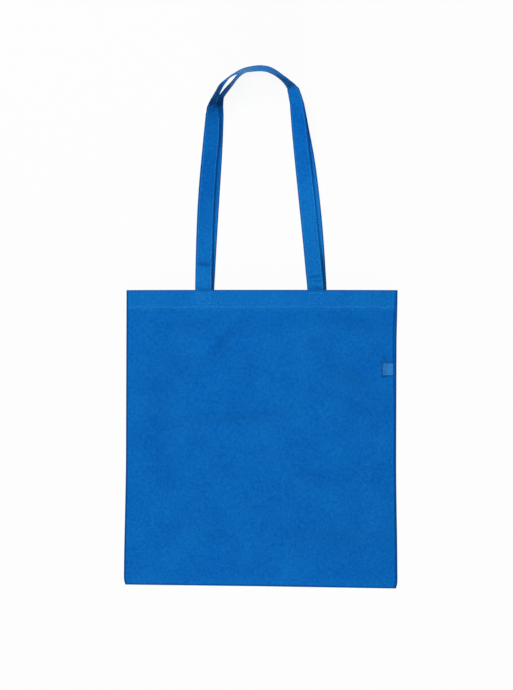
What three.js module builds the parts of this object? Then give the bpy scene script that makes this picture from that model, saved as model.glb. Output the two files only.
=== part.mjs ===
// Non-woven carrier bag lying on its back: one folded, hemmed and side-sewn sheet, two handles, a seam label.
// Millimetres. X runs across the bag, Y from the bottom fold towards the handles, Z up from the floor.
// While it is modelled, the middle of the mouth edge is at X 0, Y 0.
import * as THREE from "three";

// Body sheet
const BAG_WIDTH = 382.4; // across the mouth
const BAG_HEIGHT = 420; // mouth edge to bottom fold, at the middle
const BOTTOM_FLARE = 2.4; // the flat bottom is wider than the mouth by this much on each side
const FLARE_HEIGHT = 190; // height over which the sides flare
const BOTTOM_DRIFT = -1.4; // the bottom lies this far to the side of the mouth
const FOLD_SKEW = 5.6; // the bottom fold runs this much lower at the right end than at the left
const FOLD_BOW = 0.7; // the fold's middle lies this much higher than its ends
const CORNER_TUCK = 2.2; // how far the sewn sides draw in at the bottom corners
const CORNER_HEIGHT = 11; // height over which they draw in
const MOUTH_FLARE = 1.2; // the mouth's right corner stands out by this much
const MOUTH_FLARE_HEIGHT = 80; // height over which it does
const SHEET = 0.5; // one layer of cloth
const HEM_DEPTH = 28; // folded inside at the mouth
const HEM_STITCH_MARGIN = 5; // from the hem's turned-in edge up to its stitch line
const HEM_STITCH_WIDTH = 3; // width of the dip that the stitches pull in
const HEM_STITCH_DIP = 0.3; // depth of that dip
const SEAM_ALLOWANCE = 8; // sewn margin inside each side edge
const SEAM_LOFT = 0.4; // air between the four layers of a sewn side edge
const SEAM_ROLL = 4.6; // the right seam line rolls this far onto the front, the left one onto the back
const ROLL_TOP = 60; // mouth edge to where the seams have rolled the most
const ROLL_END = 205; // mouth edge to where they have rolled back
const SEAM_GROOVE = 0.5; // depth of the seam line
const SEAM_GROOVE_WIDTH = 1.6;
const EDGE_ROUND = 0.9; // rounding of the turned side edges
const BELLY_RISE = 7; // how far the front stands above the side edges at the middle
const MOUTH_RISE = 8; // the same at the mouth
const BELLY_FULLNESS = 2.6; // power of the rise across the bag, flatter in the middle when higher
const FOLD_REACH = 110; // height over which the front rises from the bottom fold
const FOLD_FULLNESS = 2.2; // power of that rise, steeper at the fold when higher
const MOUTH_REACH = 84; // height below the mouth over which the belly turns into the mouth

// Handles
const STRAP_WIDTH = 24;
const STRAP_THICKNESS = 1.4; // four layers of folded cloth
const STRAP_ROUND = 0.4; // rounding of the folded strap edges
const STRAP_SPACING = 158; // between the two legs of a handle, centre to centre at the mouth
const TAIL_MARGIN = 3; // the sewn tails end this far above the hem's turned-in edge
const STRAP_STEP = 4; // length of one facet along a strap
const SETTLE = 30; // length over which a leg comes down from the hem
const LEG_FALL = 95; // length over which it then comes down to where it rests

// Seam label
const LABEL_LENGTH = 16; // from the seam to the fold
const LABEL_WIDTH = 18.2;
const LABEL_PLY = 0.25;
const LABEL_GAP = 0.5; // between the two plies at the fold
const LABEL_ROOT_GAP = 0.17; // and at the seam
const LABEL_LIFT = 1.3; // how far the folded end stands off the front
const LABEL_DROP = 112; // mouth edge to the middle of the label

const SEW_GAP = 0.3; // clearance between pieces that are sewn together

// Worked-out sizes
const HALF_WIDTH = BAG_WIDTH / 2;
const SEAM_THICKNESS = 4 * SHEET + SEAM_LOFT;
const FOLD_THICKNESS = 2 * SHEET + SEAM_LOFT;
const HEM_THICKNESS = 2 * SHEET;
const HEM_STITCH_DROP = HEM_DEPTH - HEM_STITCH_MARGIN; // below the mouth edge
const STRAP_TAIL = HEM_DEPTH - TAIL_MARGIN;

const { lerp, smoothstep, degToRad } = THREE.MathUtils;

// One closed body lofted through rings of equal count, each turning from +Z towards +X when seen from ahead.
function loft(rings) {
  const count = rings[0].length;
  const points = rings.flat();
  const faces = [];
  for (let k = 0; k + 1 < rings.length; k++) {
    for (let i = 0; i < count; i++) {
      const next = (i + 1) % count;
      const [a, b] = [k * count + i, k * count + next];
      const [c, d] = [b + count, a + count];
      faces.push(a, b, c, a, c, d);
    }
  }
  const cap = (first, turn) => {
    const middle = new THREE.Vector3();
    for (let i = 0; i < count; i++) middle.addScaledVector(points[first + i], 1 / count);
    const hub = points.push(middle) - 1;
    for (let i = 0; i < count; i++) {
      const edge = [first + i, first + ((i + 1) % count)];
      faces.push(hub, ...(turn ? edge : edge.reverse()));
    }
  };
  cap(0, false);
  cap((rings.length - 1) * count, true);
  return new THREE.BufferGeometry().setFromPoints(points).setIndex(faces);
}

// Half width of the bag on one side (-1 left, 1 right), at a height above the bottom fold.
function sideEdge(side, height) {
  const flare = BOTTOM_FLARE * (1 - smoothstep(height, 0, FLARE_HEIGHT));
  const corner = side > 0 ? MOUTH_FLARE * smoothstep(height, BAG_HEIGHT - MOUTH_FLARE_HEIGHT, BAG_HEIGHT) : 0;
  const tuck = CORNER_TUCK * Math.max(0, 1 - height / CORNER_HEIGHT) ** 2;
  const drift = BOTTOM_DRIFT * (1 - height / BAG_HEIGHT);
  return side * (HALF_WIDTH + flare + corner - tuck) + drift;
}

// How much of its roll a seam line has: all of it above the label, little at the mouth and none low down.
function rollShare(height) {
  const drop = BAG_HEIGHT - height;
  return lerp(0.35, 1, smoothstep(drop, 0, ROLL_TOP)) * (1 - smoothstep(drop, ROLL_TOP, ROLL_END));
}

// Distance of the seam line from the side edge.
function seamRoll(height) {
  return lerp(EDGE_ROUND + SEAM_GROOVE_WIDTH, SEAM_ROLL, rollShare(height));
}

// Height of the front panel's outer face.
function frontHeight(x, height) {
  const fromFold = Math.min(1, Math.max(0, height) / FOLD_REACH);
  const belly = BELLY_RISE * (1 - (1 - fromFold) ** FOLD_FULLNESS);
  const mouth = smoothstep(height, BAG_HEIGHT - MOUTH_REACH, BAG_HEIGHT);
  const rise = lerp(belly, MOUTH_RISE, mouth);
  const edge = lerp(FOLD_THICKNESS, SEAM_THICKNESS, smoothstep(height, 0, CORNER_HEIGHT));
  const across = Math.min(1, Math.abs(x) / HALF_WIDTH);
  return edge + rise * (1 - across ** BELLY_FULLNESS);
}

// How far the stitched line of the hem is pulled in.
function hemDip(height) {
  const away = Math.abs(height - (BAG_HEIGHT - HEM_STITCH_DROP)) / (HEM_STITCH_WIDTH / 2);
  return HEM_STITCH_DIP * Math.max(0, 1 - away);
}

// The skewed and bowed bottom fold moves the lower rows of the sheet.
function rowY(x, height) {
  const [across, low] = [x / HALF_WIDTH, 1 - height / BAG_HEIGHT];
  return height - BAG_HEIGHT - (FOLD_SKEW / 2) * across * low + FOLD_BOW * (1 - across ** 2) * low ** 2;
}

function spread(from, to, count) {
  return Array.from({ length: count + 1 }, (_, i) => lerp(from, to, i / count));
}

// Fineness of the lofts
const FRONT_COLUMNS = 24;
const BACK_COLUMNS = 6;
const PANEL_ROWS = 7;
const FOLD_ROWS = [0.12, 0.33, 0.63]; // between the corners' height and the fold's reach, as shares
const FOLD_ANGLES = [15, 50, 90]; // round the bottom fold, in degrees
const EDGE_POINTS = 5; // of the ring round each side edge
const LEG_POINTS = 8; // of a handle's centre line along each leg
const CROWN_POINTS = 9; // and along each half of its crown
const LABEL_POINTS = 6; // along each ply of the label and round its fold

// Outer ring of the body. inset draws it in evenly, for the rounded fold and mouth edges.
function outerRing(height, inset) {
  const left = sideEdge(-1, height) + inset;
  const right = sideEdge(1, height) - inset;
  const roll = seamRoll(height);
  const lip = SEAM_GROOVE_WIDTH / 2;
  const groove = SEAM_GROOVE * lerp(0.3, 1, rollShare(height)) * (1 - inset / SHEET);
  const top = (x) => frontHeight(x, height) - hemDip(height) - inset;
  const side = frontHeight(HALF_WIDTH, height) - inset;
  const low = inset;
  const bend = Math.min(EDGE_ROUND, (side - low) / 3);
  const ring = spread(left + EDGE_ROUND, right - roll - lip, FRONT_COLUMNS).map((x) => [x, top(x)]);
  ring.push([right - roll, side - groove]);
  ring.push([right - roll + lip, side]);
  ring.push([right - bend / 3, side - bend]);
  ring.push([right, (side + low) / 2]);
  ring.push([right - bend / 3, low + bend]);
  ring.push(...spread(right - EDGE_ROUND, left + roll + lip, BACK_COLUMNS).map((x) => [x, low]));
  ring.push([left + roll, low + groove]);
  ring.push([left + roll - lip, low]);
  ring.push([left + bend / 3, low + bend]);
  ring.push([left, (side + low) / 2]);
  ring.push([left + bend / 3, side - bend]);
  return ring.map(([x, z]) => new THREE.Vector3(x, rowY(x, height), z));
}

// Ring of the inside, a wall thickness in from the outer faces and clear of the sewn margins.
function innerRing(height, wall) {
  const left = sideEdge(-1, height) + SEAM_ALLOWANCE;
  const right = sideEdge(1, height) - SEAM_ALLOWANCE;
  const top = (x) => frontHeight(x, height) - wall;
  const upright = (x, from, to) => spread(from, to, EDGE_POINTS + 1).slice(1, -1).map((z) => [x, z]);
  const ring = [
    ...spread(left, right, FRONT_COLUMNS).map((x) => [x, top(x)]),
    ...upright(right, top(right), wall),
    ...spread(right, left, BACK_COLUMNS).map((x) => [x, wall]),
    ...upright(left, wall, top(left)),
  ];
  return ring.map(([x, z]) => new THREE.Vector3(x, rowY(x, height), z));
}

function bodyGeometry() {
  const softness = SHEET / 2;
  const hemLine = BAG_HEIGHT - HEM_STITCH_DROP;
  const hemEnd = BAG_HEIGHT - HEM_DEPTH;
  const foldRows = FOLD_ROWS.map((share) => lerp(CORNER_HEIGHT, FOLD_REACH, share));
  const cornerRows = [CORNER_HEIGHT / 3, CORNER_HEIGHT];
  const panelRows = [...cornerRows, ...foldRows, ...spread(FOLD_REACH, hemEnd, PANEL_ROWS)];
  const hemRows = [-HEM_STITCH_WIDTH / 2, 0, HEM_STITCH_WIDTH / 2].map((step) => hemLine + step);
  const foldRounding = FOLD_ANGLES.map(degToRad).map((angle) => {
    return outerRing(softness * (1 - Math.cos(angle)), softness * (1 - Math.sin(angle)));
  });
  const outer = [
    ...foldRounding,
    ...[...panelRows, ...hemRows, BAG_HEIGHT - softness].map((height) => outerRing(height, 0)),
    outerRing(BAG_HEIGHT, softness),
  ];
  const inner = [
    innerRing(BAG_HEIGHT, HEM_THICKNESS - softness),
    innerRing(BAG_HEIGHT - softness, HEM_THICKNESS),
    innerRing(hemEnd, HEM_THICKNESS),
    ...panelRows.reverse().map((height) => innerRing(height, SHEET)),
  ];
  return loft([...outer, ...inner]);
}

// Handles: each goes up one leg, over a crown that stands on its edge, and down the other leg.
// On each side, reach is from the crown's top to the leg, fullness its roundness (2 is an ellipse, less is
// more pointed), bow how far the leg bends outwards and rest how high its inner edge lies. At drops below the
// crown, turns say how far the strap is rolled out of flat, in degrees (at 90 it stands on its inner edge),
// and asides how far it strays outwards from that line. The front handle's crown stands on the back handle's.
const HANDLE_RISE = 305.9; // mouth edge to the front crown's centre line
const BACK_LEAD = 6.6; // of the back crown past the front one
const FRONT_HANDLE = {
  shift: -2.9, // of the whole handle from the bag's middle
  rise: HANDLE_RISE,
  crownRise: 52, // from where the crown springs off the legs
  crownSidestep: 4.2, // of the crown's top from the handle's middle
  left: {
    reach: 66.7,
    fullness: 2.2,
    bow: 3.8,
    rest: 5.4,
    drops: [0, 4, 8, 11, 16, 24, 34, 42, 50, 54, 59, 66, 80, 95, 116, 172, 228, 310],
    turns: [85, 90, 97, 99, 94, 84, 81, 77, 70, 60, 48, 37, 28, 24, 22, 15, 8, 0],
    asides: [0, 0, 0.6, 0.3, -0.6, -1.3, -0.8, 1, 3.6, 3.8, 3, 1.6, 0.8, 0.7, 0.7, 0.6, 0.2, 0],
  },
  right: {
    reach: 47.6,
    fullness: 1.85,
    bow: 1.1,
    rest: 3.4,
    drops: [0, 4, 8, 12, 16, 21, 25, 29, 36, 53, 87, 116, 150, 190, 250, 310],
    turns: [85, 84.5, 84, 83, 82, 79, 74, 56, 50, 41, 29, 23, 15, 5, 0, 0],
    asides: [-0.4, -1.7, -2.1, -2.5, -1.1, 1.1, 2.4, 0.4, -0.3, -0.3, 0, 0, 0, 0, 0, 0],
  },
};
const BACK_HANDLE = {
  shift: 1,
  rise: HANDLE_RISE + BACK_LEAD,
  crownRise: 59.5,
  crownSidestep: -7.8,
  left: {
    reach: 54,
    fullness: 1.55,
    bow: 1.5,
    rest: 0,
    drops: [0, 8, 13, 22, 30, 40, 47, 60, 85, 120, 185, 255, 315],
    turns: [90, 92, 91, 87, 84, 79, 70, 50, 37, 25, 14, 4, 0],
    asides: [0, 2, 1.2, 0.2, 0.2, 0.6, 0.7, 0.7, 0.8, 0.8, 0.6, 0.8, 0.8],
  },
  right: {
    reach: 61.5,
    fullness: 1.75,
    bow: 3.8,
    rest: 0,
    drops: [0, 10, 20, 26, 32, 42, 62, 88, 120, 185, 255, 315],
    turns: [90, 88, 79, 71, 68, 63, 46, 36.5, 28, 13, 3, 0],
    asides: [0, 0, 0, 0, 0, -0.8, -1.9, -2, -1, -0.6, 0, 0],
  },
};
const CROWN_REACH = 85; // drop over which the front handle climbs onto the back handle's crown
const CROWN_STACK = STRAP_WIDTH + STRAP_THICKNESS + SEW_GAP;

// Plan of a handle's centre line, from the end of its left tail to the end of its right one.
function handlePlan({ shift, rise, crownRise, crownSidestep, left, right }) {
  const spring = rise - crownRise;
  const top = shift + crownSidestep;
  const half = (side, { reach, fullness, bow }) => {
    const foot = shift + (side * STRAP_SPACING) / 2;
    const leg = spread(0, 1 - 1 / (LEG_POINTS + 2), LEG_POINTS).map((t) => {
      const bent = side * bow * Math.sin(Math.PI * t);
      return new THREE.Vector3(lerp(foot, top + side * reach, t) + bent, spring * t, 0);
    });
    const crown = spread(0, Math.PI / 2, CROWN_POINTS).map((angle) => {
      const across = reach * Math.max(0, Math.cos(angle)) ** (2 / fullness);
      const up = crownRise * Math.sin(angle) ** (2 / fullness);
      return new THREE.Vector3(top + side * across, spring + up, 0);
    });
    return [new THREE.Vector3(foot, -STRAP_TAIL, 0), ...leg, ...crown];
  };
  return [...half(-1, left), ...half(1, right).reverse().slice(1)];
}

function dropCurve(drops, values) {
  const curve = new THREE.CubicInterpolant(drops, values, 1);
  return (drop) => curve.evaluate(Math.max(0, drop))[0];
}

// A strap lofted along its plan. tailHeight is the centre of the sewn tail. hemStack and crownStack are the
// heights that the strap's lower edge rests at beside the hem and at the crown.
function handleGeometry(shape, tailHeight, tailTilt, hemStack, crownStack) {
  const plan = new THREE.CatmullRomCurve3(handlePlan(shape), false, "centripetal");
  const steps = Math.round(plan.getLength() / STRAP_STEP);
  const curves = [shape.left, shape.right].map(({ drops, turns, asides, rest }) => ({
    turnAt: dropCurve(drops, turns),
    asideAt: dropCurve(drops, asides),
    legStack: Math.min(rest, hemStack),
  }));
  const [halfWidth, halfThickness] = [STRAP_WIDTH / 2, STRAP_THICKNESS / 2];
  const stations = plan.getSpacedPoints(steps).map((point, i) => {
    const { turnAt, asideAt, legStack } = curves[point.x < shape.shift + shape.crownSidestep ? 0 : 1];
    const drop = shape.rise - point.y;
    const settled = smoothstep(point.y, 0, SETTLE);
    const turn = degToRad(turnAt(drop)) * settled + tailTilt * (1 - settled);
    const climb = Math.exp(-((drop / CROWN_REACH) ** 4));
    const lean = halfWidth * Math.sin(Math.max(0, turn)) + halfThickness * Math.abs(Math.cos(turn));
    const stack = lerp(lerp(hemStack, legStack, smoothstep(point.y, 0, LEG_FALL)), crownStack, climb);
    const along = plan.getTangentAt(i / steps);
    const outward = new THREE.Vector3(-along.y, along.x, 0);
    const centre = point.clone().addScaledVector(outward, asideAt(drop));
    centre.setZ(lerp(tailHeight, lean + stack, settled));
    return { centre, turn };
  });
  const chamfer = [
    [halfWidth, halfThickness - STRAP_ROUND],
    [halfWidth - STRAP_ROUND, halfThickness],
  ];
  const quarter = (w, n) => chamfer.map(([a, b]) => [w * a, n * b]);
  const upper = [...quarter(1, 1), ...quarter(-1, 1).reverse()];
  const section = [...upper, ...quarter(-1, -1), ...quarter(1, -1).reverse()];
  const rings = stations.map(({ centre, turn }, i) => {
    const before = stations[Math.max(0, i - 1)].centre;
    const after = stations[Math.min(steps, i + 1)].centre;
    const along = after.clone().sub(before).normalize();
    const inward = new THREE.Vector3(along.y, -along.x, 0).normalize();
    const width = inward.multiplyScalar(-Math.cos(turn)).setZ(Math.sin(turn));
    width.addScaledVector(along, -width.dot(along)).normalize();
    const face = along.clone().cross(width);
    return section.map(([w, n]) => centre.clone().addScaledVector(width, w).addScaledVector(face, n));
  });
  return loft(rings);
}

function frontHandleGeometry() {
  const tailAt = STRAP_SPACING / 2;
  const height = (x) => frontHeight(x, BAG_HEIGHT) - HEM_THICKNESS - SEW_GAP - STRAP_THICKNESS / 2;
  const tilt = Math.atan2(height(tailAt + STRAP_WIDTH / 2) - height(tailAt - STRAP_WIDTH / 2), STRAP_WIDTH);
  const tailHeight = height(tailAt - FRONT_HANDLE.shift) - SEW_GAP / 2;
  return handleGeometry(FRONT_HANDLE, tailHeight, tilt, tailHeight - STRAP_THICKNESS / 2, CROWN_STACK);
}

function backHandleGeometry() {
  const tailHeight = HEM_THICKNESS + SEW_GAP + STRAP_THICKNESS / 2;
  return handleGeometry(BACK_HANDLE, tailHeight, 0, 0, 0);
}

// The label is a tape folded on itself, a hairpin in section, lying on the front with its fold lifted.
function labelGeometry() {
  const height = BAG_HEIGHT - LABEL_DROP;
  const root = sideEdge(1, height) - seamRoll(height) - SEAM_GROOVE_WIDTH / 2;
  const low = (s) => frontHeight(root - s, height) + SEW_GAP + LABEL_LIFT * (s / LABEL_LENGTH) ** 2;
  const gap = (s) => lerp(LABEL_ROOT_GAP, LABEL_GAP, s / LABEL_LENGTH);
  const plies = 2 * LABEL_PLY;
  const fold = LABEL_LENGTH - (plies + LABEL_GAP) / 2;
  const stops = spread(0, fold, LABEL_POINTS);
  const line = (lift) => stops.map((s) => new THREE.Vector2(root - s, low(s) + lift(s)));
  const bend = (radius) => {
    const middle = new THREE.Vector2(root - fold, low(fold) + LABEL_PLY + gap(fold) / 2);
    const arc = new THREE.EllipseCurve(middle.x, middle.y, radius, radius, -Math.PI / 2, Math.PI / 2, true);
    return arc.getPoints(LABEL_POINTS).slice(1, -1);
  };
  const outline = [
    ...line(() => 0),
    ...bend((plies + LABEL_GAP) / 2),
    ...line((s) => plies + gap(s)).reverse(),
    ...line((s) => LABEL_PLY + gap(s)),
    ...bend(LABEL_GAP / 2).reverse(),
    ...line(() => LABEL_PLY).reverse(),
  ];
  const shape = new THREE.Shape(outline);
  const strip = new THREE.ExtrudeGeometry(shape, { depth: LABEL_WIDTH, bevelEnabled: false });
  return strip.rotateX(Math.PI / 2).translate(0, LABEL_WIDTH / 2 - LABEL_DROP, 0);
}

const cloth = new THREE.MeshStandardMaterial({ color: 0x0e65b7, roughness: 0.85, metalness: 0 });
const tape = new THREE.MeshStandardMaterial({ color: 0x3f86c8, roughness: 0.55, metalness: 0 });

function piece(name, geometry, material) {
  const mesh = new THREE.Mesh(geometry, material);
  mesh.name = name;
  return mesh;
}

const bag = new THREE.Group();
bag.add(
  piece("bag_body", bodyGeometry(), cloth),
  piece("front_handle", frontHandleGeometry(), cloth),
  piece("back_handle", backHandleGeometry(), cloth),
  piece("side_label", labelGeometry(), tape),
);

// The part's origin is on the floor, under the middle of its box.
const box = new THREE.Box3().setFromObject(bag);
const middle = box.getCenter(new THREE.Vector3());
bag.position.set(-middle.x, -middle.y, -box.min.z);

const part = new THREE.Group();
part.add(bag);

export default part;
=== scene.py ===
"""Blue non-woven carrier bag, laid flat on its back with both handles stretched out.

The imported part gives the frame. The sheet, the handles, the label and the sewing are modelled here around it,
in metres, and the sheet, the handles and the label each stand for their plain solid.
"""
import functools
import math

import bpy
import numpy as np
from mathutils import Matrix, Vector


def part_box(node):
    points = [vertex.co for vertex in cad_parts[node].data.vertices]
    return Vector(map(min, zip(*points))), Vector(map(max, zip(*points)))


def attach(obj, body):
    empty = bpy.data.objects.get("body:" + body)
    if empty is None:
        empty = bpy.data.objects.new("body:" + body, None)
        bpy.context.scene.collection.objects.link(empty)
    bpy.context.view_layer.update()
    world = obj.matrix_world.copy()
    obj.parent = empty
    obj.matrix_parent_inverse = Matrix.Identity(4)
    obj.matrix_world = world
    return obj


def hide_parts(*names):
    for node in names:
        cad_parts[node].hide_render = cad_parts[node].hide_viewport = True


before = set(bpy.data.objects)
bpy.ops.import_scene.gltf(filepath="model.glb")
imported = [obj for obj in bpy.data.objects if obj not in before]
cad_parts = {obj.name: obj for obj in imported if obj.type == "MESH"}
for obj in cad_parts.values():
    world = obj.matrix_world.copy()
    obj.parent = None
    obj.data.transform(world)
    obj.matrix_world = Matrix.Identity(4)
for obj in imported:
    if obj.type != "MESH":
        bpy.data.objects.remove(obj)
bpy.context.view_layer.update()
SHEET_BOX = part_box("bag_body")

bl_info = {
    "name": "Non-woven carrier bag",
    "version": (1, 0, 0),
    "blender": (4, 5, 0),
    "location": "3D View > Sidebar > Carrier bag",
    "description": "Models a flat-sewn non-woven carrier bag with long handles around its packed frame",
    "category": "Add Mesh",
}

MM = 0.001
BODY = "root"


def linear(code):
    """Turns an sRGB hex colour, such as 0x0e65b7, into linear red, green and blue."""
    parts = [(code >> shift & 255) / 255 for shift in (16, 8, 0)]
    return [c / 12.92 if c <= 0.04045 else ((c + 0.055) / 1.055) ** 2.4 for c in parts]


def length(name, description, millimetres):
    """A size in metres, written in millimetres."""
    return bpy.props.FloatProperty(
        name=name, description=description, default=millimetres * MM, unit="LENGTH", precision=5
    )


def power(name, description, default):
    """A plain number, such as the power of a curve."""
    return bpy.props.FloatProperty(name=name, description=description, default=default)


def colour(name, description, code):
    """A colour, written as an sRGB hex value."""
    return bpy.props.FloatVectorProperty(
        name=name, description=description, default=linear(code), subtype="COLOR", size=3, min=0, max=1
    )


class SheetSizes(bpy.types.PropertyGroup):
    """The body: one sheet, folded at the bottom, hemmed at the mouth and sewn up both sides."""

    width: length("Width", "Across the mouth", 382.8)
    height: length("Height", "Mouth edge to bottom fold, at the middle", 420)
    bottom_flare: length("Bottom flare", "The flat bottom is wider than the mouth by this much a side", 2.4)
    flare_height: length("Flare height", "Height over which the sides flare", 190)
    bottom_drift: length("Bottom drift", "How far the bottom lies to the side of the mouth", -1.4)
    fold_skew: length("Fold skew", "The bottom fold runs lower at its right end by this much", 5.6)
    fold_bow: length("Fold bow", "The fold's middle lies this much higher than its ends", 0.7)
    corner_tuck: length("Corner tuck", "How far the sewn sides draw in at the bottom corners", 2.2)
    corner_height: length("Corner height", "Height over which they draw in", 11)
    cloth: length("Cloth", "Thickness of one layer", 0.5)
    hem_depth: length("Hem depth", "Cloth folded inside at the mouth", 28)
    stitch_margin: length("Stitch margin", "From the hem's turned-in edge up to its stitch line", 4)
    seam_allowance: length("Seam allowance", "Sewn margin inside each side edge", 8)
    seam_loft: length("Seam loft", "Air between the layers of a sewn edge", 0.4)
    mouth_flare: length("Mouth flare", "The mouth's right corner stands out by this much", 1.2)
    mouth_flare_height: length("Mouth flare height", "Height over which it does", 80)
    seam_roll: length("Seam roll", "The right seam line rolls this far onto the front", 4.6)
    roll_top: length("Roll top", "Mouth edge to where the seam has rolled the most", 60)
    roll_end: length("Roll end", "Mouth edge to where it has rolled back", 205)
    seam_groove: length("Seam groove", "Depth of the seam line", 1.2)
    seam_groove_width: length("Seam groove width", "Width of the seam line", 1.6)
    edge_round: length("Edge round", "Rounding of the turned side edges", 0.9)
    belly_rise: length("Belly rise", "How far the front stands above the side edges at the middle", 7)
    mouth_rise: length("Mouth rise", "The same at the mouth", 8)
    belly_fullness: power("Belly fullness", "Power of the rise across the bag, flatter when higher", 2.6)
    fold_reach: length("Fold reach", "Height over which the front rises from the bottom fold", 110)
    fold_fullness: power("Fold fullness", "Power of that rise, steeper at the fold when higher", 2.2)
    mouth_reach: length("Mouth reach", "Height below the mouth over which the belly turns into the mouth", 84)
    grid: length("Grid", "Size of one face of the sheet", 2.6)


class StrapSizes(bpy.types.PropertyGroup):
    """The handles: cloth folded to four layers and stitched along both edges."""

    width: length("Width", "Across the folded strap", 24)
    thickness: length("Thickness", "Of the four layers", 1.4)
    spacing: length("Spacing", "Between the two legs of a handle, centre to centre at the mouth", 158)
    tail_margin: length("Tail margin", "The sewn tails end this far above the hem's turned-in edge", 3)
    settle: length("Settle", "Length over which a leg comes down from the hem", 30)
    leg_fall: length("Leg fall", "Length over which it then comes down to where it rests", 95)
    crown_reach: length("Crown reach", "Drop over which the front handle climbs onto the back one", 85)
    sew_gap: length("Sew gap", "Clearance between pieces that are sewn together", 0.3)
    stitch_inset: length("Stitch inset", "From a strap's edge to its stitch line", 2.4)
    stitch_dip: length("Stitch dip", "How far the stitches pull the strap in", 0.22)
    cleft: length("Cleft", "Depth of the line where the two turned edges meet", 0.35)
    step: length("Step", "Length of one face along a strap", 1.5)


class LabelSizes(bpy.types.PropertyGroup):
    """The seam label: a woven tape folded on itself."""

    length: length("Length", "From the seam to the fold", 17)
    width: length("Width", "Along the seam", 18.2)
    ply: length("Ply", "Thickness of the tape", 0.25)
    gap: length("Gap", "Between the two plies at the fold", 0.5)
    root_gap: length("Root gap", "Between the two plies at the seam", 0.17)
    lift: length("Lift", "How far the folded end stands off the front", 1.9)
    curl: length("Curl", "How much farther its lower corner stands off", 0.35)
    drop: length("Drop", "Mouth edge to the middle of the label", 112)


class ThreadSizes(bpy.types.PropertyGroup):
    """Sewing thread and its stitches."""

    diameter: length("Diameter", "Of the thread", 0.45)
    stitch: length("Stitch", "Length of one stitch", 2.6)
    pitch: length("Pitch", "From one stitch to the next", 3.1)
    hem_dip: length("Hem dip", "How far the hem's stitches pull the cloth in", 0.5)
    hem_dip_width: length("Hem dip width", "Width of that groove", 2.6)
    box_width: length("Box width", "Of the crossed box that holds a strap end", 18.5)
    box_height: length("Box height", "Of the same", 15.5)
    box_top: length("Box top", "Mouth edge to the top of the box", 4)


class BagColours(bpy.types.PropertyGroup):
    """Colours of the cloth, the tape, the thread and the floor, and of the painted shade and painted highlight.
    """

    cloth_light: colour("Cloth, light", "Thick spots of the web", 0x1070BF)
    cloth_shade: colour("Cloth, shade", "Thin spots of the web", 0x075CB2)
    # Painted shade, put into the colour at edges, seams, folds, creases, hollows and shaded strap runs
    painted_shade: colour("Pressed edge", "Folded and sewn edges", 0x003878)
    tape: colour("Tape", "Woven label", 0x3A90DA)
    tape_shade: colour("Tape, shade", "Between its threads", 0x1A66B0)
    # Painted highlight, a pale colour mixed in on the handles' crowns
    painted_highlight: colour("Rubbed cloth", "Filaments that handling has lifted", 0x9CD4D4)
    thread: colour("Thread", "Sewing thread", 0x46A8EC)
    floor: colour("Floor", "White table", 0xEAEAEA)


# How each handle lies, in millimetres. On each side, reach is from the crown's top to the leg, fullness its
# roundness, bow how far the leg bends outwards and rest how high its inner edge lies. At drops below the
# crown, turns are how far the strap is rolled out of flat, in degrees, and asides how far it strays outwards.
HANDLES = {
    "front_handle": {
        "shift": -2.9,
        "rise": 305.9,
        "crown_rise": 52,
        "crown_sidestep": 4.2,
        "sides": {
            -1: {
                "reach": 66.7,
                "fullness": 2.2,
                "bow": 3.8,
                "rest": 5.4,
                "drops": [0, 4, 8, 11, 16, 24, 34, 42, 50, 54, 59, 66, 80, 95, 116, 172, 228, 310],
                "turns": [85, 90, 97, 98, 94, 86, 82, 77, 70, 60, 47, 40, 32, 24, 22, 15, 8, 0],
                "asides": [0, 0, 0, 0, -0.9, -1, -0.9, 0.5, 3.4, 3.8, 2.9, 1.8, 1, 0.7, 0.7, 0.6, 0.2, 0],
            },
            1: {
                "reach": 47.6,
                "fullness": 1.85,
                "bow": 1.1,
                "rest": 3.4,
                "drops": [0, 4, 8, 12, 16, 21, 25, 29, 36, 53, 87, 116, 150, 190, 250, 310],
                "turns": [85, 85, 85, 84, 82, 80, 74, 57, 49, 41, 29, 23, 15, 5, 0, 0],
                "asides": [
                    -0.3, -1.2, -1.8, -1.8, -1.3, -0.4, 0.5, 0.5, -0.3, 0.2, 0.6, 0.5, 0.5, 0.5, 0.4, 0,
                ],
            },
        },
    },
    "back_handle": {
        "shift": 1.0,
        "rise": 312.5,
        "crown_rise": 59.5,
        "crown_sidestep": -7.8,
        "sides": {
            -1: {
                "reach": 54,
                "fullness": 1.55,
                "bow": 1.5,
                "rest": 0,
                "drops": [0, 8, 13, 22, 30, 40, 47, 60, 85, 120, 185, 255, 315],
                "turns": [90, 92, 91, 89, 86, 82, 70, 50, 37, 25, 14, 4, 0],
                "asides": [0, 1.7, 1.2, -0.3, 0.1, 1.2, 1.2, 1.2, 1.1, 0.8, 0.6, 0.8, 0.8],
            },
            1: {
                "reach": 61.5,
                "fullness": 1.75,
                "bow": 3.8,
                "rest": 0,
                "drops": [0, 10, 20, 26, 32, 42, 62, 88, 120, 185, 255, 315],
                "turns": [90, 88, 79, 71, 68, 63, 46, 36.5, 28, 13, 3, 0],
                "asides": [0, 0, 0, 0, 0, -0.8, -1.9, -2, -1, -0.6, 0, 0],
            },
        },
    },
}
# Points of a handle's plan on a leg and on half a crown, and steps between two of them
LEG_POINTS = 8
CROWN_POINTS = 9
PLAN_STEPS = 24

# Creases across the front handle's legs where they leave the hem: side, millimetres above the mouth, height,
# half widths above and below it, and where across the strap it is highest, from -1 at its right edge to 1 at
# its left
LEG_CREASES = [
    (-1, 33, 1.5, 4.2, 11, 0.1),
    (1, 17, 0.75, 2.4, 2.2, -0.2),
    (1, 11.3, 0.6, 1.6, 3.2, -0.4),
    (1, 1.6, 0.6, 1.8, 2, -0.2),
]
# How far a crease spreads across the strap, in half straps, and the painted shade line on its upper side: how
# dark it is, and its place and half width in upper half widths of the crease
CREASE_SPREAD = 1.3
CREASE_PAINTED_SHADE = 0.45
CREASE_LINE = 0.75
CREASE_LINE_WIDTH = 0.7
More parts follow.
